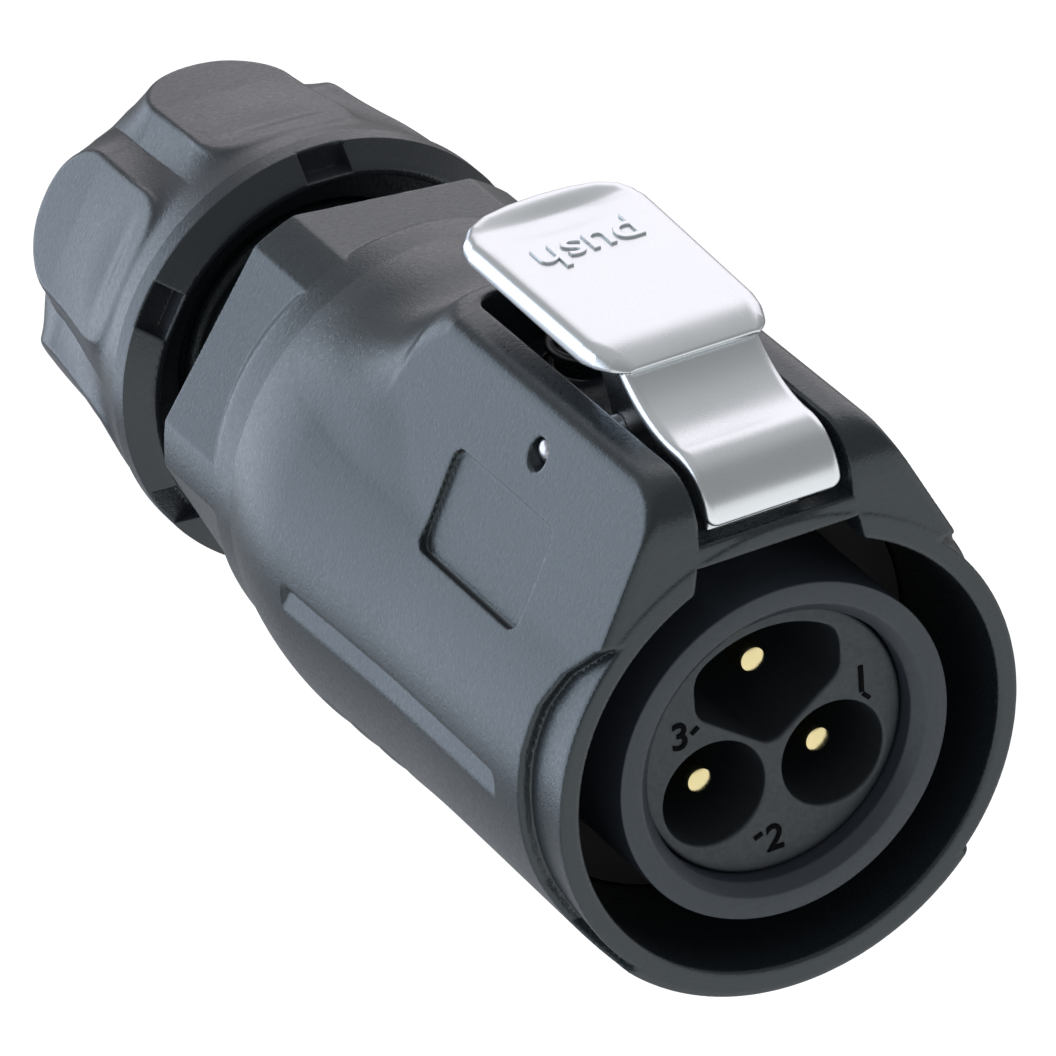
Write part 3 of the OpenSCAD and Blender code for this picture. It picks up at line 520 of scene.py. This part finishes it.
class Finish:
    """A material, floor or world being put together"""

    def __init__(self, owner):
        self.owner = owner
        owner.use_nodes = True
        self.tree = owner.node_tree
        self.tree.nodes.clear()

    def node(self, kind, settings=None, sockets=None, out=0):
        made = self.tree.nodes.new(kind)
        for key, value in (settings or {}).items():
            setattr(made, key, value)
        for key, value in (sockets or {}).items():
            if isinstance(value, Socket):
                self.tree.links.new(value.socket, made.inputs[key])
            else:
                made.inputs[key].default_value = value
        return Socket(self, made.outputs[out]) if made.outputs else None

    def noise(self, scale, detail=2.0, stretch=(1, 1, 1)):
        """Noise on the piece, with so many cells to the millimetre"""
        place = self.node("ShaderNodeTexCoord", out="Object")
        place = self.node("ShaderNodeMapping", {}, {"Vector": place, "Scale": stretch})
        return self.node("ShaderNodeTexNoise", {}, {"Vector": place, "Scale": scale/MM, "Detail": detail})

    def mix(self, factor, a, b):
        return self.node("ShaderNodeMix", {"data_type": "RGBA"}, {0: factor, 6: a, 7: b}, 2)

    def fade(self, value, start, end, least=0.0, most=1.0):
        """From least to most as the value goes from start to end"""
        return self.node("ShaderNodeMapRange", {}, {
            "Value": value, "From Min": start, "From Max": end, "To Min": least, "To Max": most})

    def rays(self, kind):
        return self.node("ShaderNodeLightPath", out=f"Is {kind} Ray")

    def bump(self, height, strength, distance):
        return self.node("ShaderNodeBump", {}, {"Height": height, "Strength": strength, "Distance": distance*MM})

    def surface(self, sockets):
        shader = self.node("ShaderNodeBsdfPrincipled", {}, sockets)
        self.node("ShaderNodeOutputMaterial", {}, {"Surface": shader})
        return self.owner


class Rule(Finish):
    """A Geometry Nodes tree being put together, with named inputs for its sizes"""

    def __init__(self, name, sizes):
        self.tree = bpy.data.node_groups.new(name, "GeometryNodeTree")
        self.tree.interface.new_socket(name="Shape", in_out="OUTPUT", socket_type="NodeSocketGeometry")
        self.values = {}
        for key, value in sizes.items():
            made = self.tree.interface.new_socket(name=key, in_out="INPUT", socket_type="NodeSocketFloat")
            self.values[made.identifier] = value
        self.entry = self.tree.nodes.new("NodeGroupInput")

    def size(self, key):
        return Socket(self, self.entry.outputs[key])

    def piece(self, name, shape, finish):
        shape = self.node("GeometryNodeRealizeInstances", {}, {0: shape})
        shape = self.node("GeometryNodeSetMaterial", {}, {0: shape, "Material": finish})
        self.node("NodeGroupOutput", {}, {0: shape})
        piece = piece_from(name, [], [])
        rule = piece.modifiers.new(name, "NODES")
        rule.node_group = self.tree
        for identifier, value in self.values.items():
            rule[identifier] = value
        return plain_mesh(piece)


def tint(colour, factor):
    return tuple(min(c*factor, 1) for c in colour) + (1,)


def moulding(name, colour, rough, grain, bump, shine=0.7):
    """Moulded plastic: a fine spark-eroded grain with faint flow clouds"""
    f = Finish(bpy.data.materials.new(name))
    clouds = f.noise(0.09, 3)
    fine = f.noise(4.2, 2)
    speck = f.noise(9.0, 1)
    tone = f.mix(clouds, tint(colour, 0.94), tint(colour, 1.06))
    tone = f.mix((fine - 0.5)*grain + 0.5, tint(colour, 0.8), tone)
    shade = f.mix((speck - 0.4)*0.9, tone, tint(colour, 1.25))
    return f.surface({
        "Base Color": shade,
        "Roughness": (clouds - 0.5)*0.08 + (fine - 0.5)*0.3 + rough,
        "Specular IOR Level": shine,
        "Specular Tint": (0.88, 0.99, 1.0, 1),
        "Normal": f.bump(fine + speck*0.8, bump, 0.03)})


def satin_chrome():
    """Satin chrome on a casting: faint clouds, tiny pits and a soft ripple"""
    f = Finish(bpy.data.materials.new("satin_chrome"))
    clouds = f.noise(0.35, 3)
    pits = f.noise(6.0, 2)
    colour = (0.77, 0.81, 0.835)
    return f.surface({
        "Base Color": f.mix(clouds, tint(colour, 0.96), tint(colour, 1.02)),
        "Metallic": 1.0,
        "Roughness": (clouds - 0.5)*0.1 + (pits - 0.5)*0.08 + 0.29,
        "Normal": f.bump(clouds*3 + pits*0.4, 0.05, 0.03)})


def bright_metal(name, colour, rough, stretch):
    """Turned or drawn metal with fine lines"""
    f = Finish(bpy.data.materials.new(name))
    lines = f.noise(5.0, 2, stretch)
    clouds = f.noise(0.5, 2)
    return f.surface({
        "Base Color": f.mix(clouds, tint(colour, 0.92), tint(colour, 1.04)),
        "Metallic": 1.0,
        "Roughness": (lines - 0.5)*0.16 + rough,
        "Normal": f.bump(lines, 0.08, 0.01)})


def rubber():
    f = Finish(bpy.data.materials.new("black_rubber"))
    dust = f.noise(2.2, 3)
    colour = (0.022, 0.022, 0.024)
    return f.surface({
        "Base Color": f.mix(dust, tint(colour, 0.8), tint(colour, 1.5)),
        "Roughness": (dust - 0.5)*0.2 + 0.62,
        "Normal": f.bump(dust, 0.1, 0.02)})


shell_finish = moulding("shell_moulding", (0.024, 0.031, 0.039), 0.32, 0.55, 0.5)
nut_finish = moulding("nut_moulding", (0.029, 0.032, 0.041), 0.34, 0.55, 0.5)
insert_finish = moulding("insert_moulding", (0.045, 0.054, 0.072), 0.45, 0.45, 0.2)
carrier_finish = moulding("carrier_moulding", (0.034, 0.041, 0.051), 0.5, 0.45, 0.2)
mark_finish = moulding("mark_moulding", (0.004, 0.004, 0.005), 0.6, 0.4, 0.1, 0.05)
spring_finish = bright_metal("spring_steel", (0.16, 0.16, 0.17), 0.4, (1, 1, 1))
claw_finish = moulding("claw_moulding", (0.16, 0.16, 0.17), 0.5, 0.4, 0.1)
chrome_finish = satin_chrome()
steel_finish = bright_metal("plain_steel", (0.56, 0.56, 0.58), 0.3, (0.1, 1, 1))
gilt_finish = bright_metal("gilt", (0.80, 0.69, 0.37), 0.2, (1, 0.15, 1))
rubber_finish = rubber()


def dressed(piece, finish, body, slot, *stands_for):
    """Gives a piece its material, the body it rides on and the nodes it stands for; the slot argument is not used"""
    piece.data.materials.clear()
    piece.data.materials.append(finish)
    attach(piece, body)
    if stands_for:
        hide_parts(*stands_for)


# Pieces

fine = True
housing = cast("housing_moulding", housing_field, (-14.7, -0.5, -14.7), (14.7, 57.6, 17.8), 0.2 if fine else 0.34)
dressed(housing, shell_finish, "shell", "shell_plastic", "housing")
latch = cast("latch_casting", latch_field, (-5.6, -0.4, 10.8), (5.6, 24.8, 22.0), 0.12 if fine else 0.2)
dressed(latch, chrome_finish, "latch", "latch_chrome", "latch_lever")
nut = cast("gland_nut_moulding", nut_field, (-13.2, 48.6, -13.2), (13.2, 67.6, 13.2), 0.16 if fine else 0.3)
dressed(nut, nut_finish, "nut", "nut_plastic", "gland_nut")
carrier = cast("contact_carrier_moulding", carrier_field, (-8.5, 1.7, -8.5), (8.5, 13.3, 8.5), 0.14 if fine else 0.24)
dressed(carrier, carrier_finish, "shell", "insert_plastic", "contact_carrier")

sleeve_profile = [
    (7.55, 1.3), (8.2, sleeve_start), (sleeve_r, sleeve_start), (sleeve_r, mouth_depth), (flange_r, mouth_depth),
    (flange_r, seat_end), (sleeve_r, seat_end), (sleeve_r, 17), (8.5, 17), (8.5, 18.2), (sleeve_r, 18.2),
    (sleeve_r, sleeve_end), (8.25, sleeve_end), (8.25, 12), (7.55, 12)]
sleeve = lathe("sleeve_moulding", sleeve_profile, soft=0.1)
dressed(sleeve, insert_finish, "shell", "insert_plastic", "insert_sleeve")

contact_profile = [
    (0, contact_start), (0.5, contact_start + 0.03), (0.66, contact_start + 0.1), (0.73, contact_start + 0.22),
    (contact_r, contact_start + 0.4), (contact_r, 13), (2.1, 13), (2.1, 27), (1.3, 27), (1.3, 19), (0, 18.4)]
for i in range(3):
    pin = lathe(f"contact_pin_{i + 1}", contact_profile, contact_spot(i), 48)
    dressed(pin, gilt_finish, "shell", "contact_brass", f"contact_{i + 1}")


def lettering(name, words, size, depth, to_world, body, finish, slot):
    """Raised characters, set flat in a plane given by a matrix in millimetres"""
    curve = bpy.data.curves.new(name, "FONT")
    curve.body, curve.size, curve.align_x, curve.align_y = words, size, "CENTER", "CENTER"
    curve.extrude, curve.bevel_depth, curve.bevel_resolution = depth/2, 0.03, 1
    curve.resolution_u = 6
    text = bpy.data.objects.new(name, curve)
    bpy.context.scene.collection.objects.link(text)
    bpy.context.view_layer.update()
    mesh = bpy.data.meshes.new_from_object(text.evaluated_get(bpy.context.evaluated_depsgraph_get()))
    bpy.data.objects.remove(text)
    mesh.transform(Matrix.Diagonal((MM, MM, MM, 1)) @ to_world)
    piece = bpy.data.objects.new(name, mesh)
    bpy.context.scene.collection.objects.link(piece)
    smooth(piece)
    dressed(piece, finish, body, slot)


def plane_at(centre, right, up):
    """A matrix that lays the text's plane at a place, with the given right and up"""
    right, up = Vector(right).normalized(), Vector(up).normalized()
    out = right.cross(up)
    return Matrix.Translation(centre) @ Matrix((right, up, out)).transposed().to_4x4()


digit_size, tick_size, word_size, digit_high, word_high = 2.15, 1.9, 3.3, 0.1, 0.16
for words, x, z in (("1", 5.24, 1.69), ("2", -0.17, -5.76), ("3", -5.17, 1.95)):
    place = plane_at((x, carrier_start, z), (1, 0, 0), (0, 0, 1))
    lettering("number_" + words, words, digit_size, digit_high, place, "shell", mark_finish, "insert_plastic")
for i, (x, z, lean) in enumerate(((5.6, 0.8, -1.0), (-1.18, -5.16, 0.4), (-4.41, 2.21, 0.7))):
    place = plane_at((x, carrier_start, z), (1, 0, lean), (-lean, 0, 1))
    lettering(f"tick_{i + 1}", "-", tick_size, digit_high, place, "shell", mark_finish, "insert_plastic")
place = plane_at((0, 18.3, 20.95), (-1, 0, 0), (0, -1, -pad_rise))
lettering("pad_word", "push", word_size, word_high, place, "latch", chrome_finish, "latch_chrome")

pin_end = [(pin_r, 6.65), (0.68, 6.9), (0.52, 7.08), (0.3, 7.2), (0, 7.25)]
pivot = lathe("pivot_pin", [(r, -y) for r, y in reversed(pin_end)] + pin_end, segments=64)
pivot.data.transform(Matrix.Translation((0, pivot_y*MM, pivot_z*MM)) @ Matrix.Rotation(math.pi/2, 4, "Z"))
dressed(pivot, steel_finish, "shell", "steel", "latch_pin")

# The latch spring: a wire wound round a rising spiral, its foot in the pocket under the slot
coil = Rule("coil", {
    "Turns": 5.0, "Coil radius": 1.5*MM, "Wire radius": 0.28*MM, "Rise": 6.98*MM, "Foot along": spring_y*MM,
    "Foot height": 12.28*MM})
winding = coil.node("GeometryNodeCurveSpiral", {}, {
    "Resolution": 48, "Rotations": coil.size("Turns"), "Start Radius": coil.size("Coil radius"),
    "End Radius": coil.size("Coil radius"), "Height": coil.size("Rise")})
section = coil.node("GeometryNodeCurvePrimitiveCircle", {}, {"Resolution": 12, "Radius": coil.size("Wire radius")})
wire = coil.node("GeometryNodeCurveToMesh", {}, {"Curve": winding, "Profile Curve": section, "Fill Caps": True})
foot = coil.node("ShaderNodeCombineXYZ", {}, {1: coil.size("Foot along"), 2: coil.size("Foot height")})
placed = coil.node("GeometryNodeTransform", {}, {"Geometry": wire, "Translation": foot})
spring = coil.piece("latch_coil", placed, spring_finish)
smooth(spring, 60)
dressed(spring, spring_finish, "shell", "steel", "latch_spring")
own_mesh(spring)

cad_finishes = {
    steel_finish: ("insert_screw", "terminal_screws", "thrust_washer"),
    rubber_finish: ("mating_seal", "insert_o_ring", "neck_o_ring", "gland_grommet"),
    insert_finish: ("insert_retaining_ring", "contact_clamp"),
    claw_finish: ("gland_claw",)}
for finish, names in cad_finishes.items():
    for name in names:
        nodes[name].data.materials.clear()
        nodes[name].data.materials.append(finish)

# Camera, light, floor and backdrop. The camera was fitted to the photo: its turn, its distance in millimetres, its
# focal length in pixels and the pixel where the middle of the mouth lies.

view_az, view_el, view_roll = math.radians(-26.15), math.radians(30.29), math.radians(-4.4)
distance, focal, photo_px, sensor = 398.5, 8000.0, 1056, 36
centre_px, origin_px = 528.0, (792.65, 758.05)
back = Vector((math.sin(view_az)*math.cos(view_el), -math.cos(view_az)*math.cos(view_el), math.sin(view_el)))
level = Vector((math.cos(view_az), math.sin(view_az), 0))
rise = back.cross(level)
right = level*math.cos(view_roll) + rise*math.sin(view_roll)
up = rise*math.cos(view_roll) - level*math.sin(view_roll)
aside = (origin_px[0] - centre_px)/focal*distance
below = (centre_px - origin_px[1])/focal*distance
lens = bpy.data.cameras.new("camera")
lens.sensor_width = sensor
lens.lens = sensor*focal/photo_px
lens.clip_start, lens.clip_end = 0.01, 20
camera = bpy.data.objects.new("camera", lens)
stand = Matrix.Translation((back*distance - right*aside - up*below)*MM)
camera.matrix_world = stand @ Matrix((right, up, back)).transposed().to_4x4()
bpy.context.scene.collection.objects.link(camera)
bpy.context.scene.camera = camera


plug_middle = Vector((0, 0.03, 0.004))


def softbox(name, direction, size, watts, reach=0.45, colour=(1, 1, 1)):
    """A soft lamp that looks at the middle of the plug, from so many metres away"""
    lamp = bpy.data.lights.new(name, "AREA")
    lamp.shape, lamp.size, lamp.size_y = "RECTANGLE", size[0], size[1]
    lamp.energy, lamp.color = watts, colour
    there = bpy.data.objects.new(name, lamp)
    towards = Vector(direction).normalized()
    facing = towards.to_track_quat("Z", "Y").to_matrix().to_4x4()
    there.matrix_world = Matrix.Translation(plug_middle + towards*reach) @ facing
    there.visible_camera = False
    bpy.context.scene.collection.objects.link(there)


softbox("over", (0.61, 0.66, 0.46), (0.52, 0.42), 0.6, colour=(1.06, 0.98, 1.05))
softbox("left_low", (-0.66, 0.72, 0.0), (0.9, 0.56), 2.85, 0.6, (0.88, 0.98, 1.16))

# The floor looks white to the camera, and in reflections towards the front, where the photo shows them
floor_half, floor_z, floor_grey, floor_glow = 4, -0.4, 0.5, 0.85
floor_corners = [(x*floor_half, y*floor_half, floor_z) for x, y in ((-1, -1), (1, -1), (1, 1), (-1, 1))]
floor = piece_from("floor", floor_corners, [(0, 1, 2, 3)])
paper = Finish(bpy.data.materials.new("pale_floor"))
mirrored = paper.rays("Glossy") + paper.rays("Transmission")
along = paper.node("ShaderNodeSeparateXYZ", {}, {0: paper.node("ShaderNodeTexCoord", out="Object")}, 1)
ahead = paper.fade(along, 0.15, -0.25, 0.1)
plain = paper.node("ShaderNodeBsdfDiffuse", {}, {"Color": (floor_grey, floor_grey, floor_grey, 1)})
white = paper.node("ShaderNodeEmission", {}, {"Color": (1, 1, 1, 1), "Strength": floor_glow})
lit = paper.node("ShaderNodeAddShader", {}, {0: plain, 1: white})
sheet = paper.node("ShaderNodeMixShader", {}, {0: paper.rays("Camera") + mirrored*ahead, 1: plain, 2: lit})
paper.node("ShaderNodeOutputMaterial", {}, {"Surface": sheet})
floor.data.materials.append(paper.owner)

# The world: grey walls and a lighter ceiling light the plug, and the camera sees a white backdrop
studio = Finish(bpy.data.worlds.new("studio"))
bpy.context.scene.world = studio.owner
mirrored = studio.rays("Glossy") + studio.rays("Transmission")
way = studio.node("ShaderNodeTexCoord", out="Generated")
along = studio.node("ShaderNodeSeparateXYZ", {}, {0: way}, 1)
height = studio.node("ShaderNodeSeparateXYZ", {}, {0: way}, 2)
ahead = studio.fade(along, 0.1, -0.3)
sweep = studio.fade(height, 0.16, 0.04)
overhead = studio.fade(height, 0.45, 0.8)
walls, ceiling, backdrop = [
    studio.node("ShaderNodeBackground", {}, {"Color": (1, 1, 1, 1), "Strength": strength})
    for strength in (0.32, 0.5, 1.0)]
room = studio.node("ShaderNodeMixShader", {}, {0: overhead*(1 - ahead), 1: walls, 2: ceiling})
shows = studio.rays("Camera") + mirrored*sweep*ahead
scenery = studio.node("ShaderNodeMixShader", {}, {0: shows, 1: room, 2: backdrop})
studio.node("ShaderNodeOutputWorld", {}, {"Surface": scenery})
bpy.context.scene.view_settings.view_transform = "Standard"
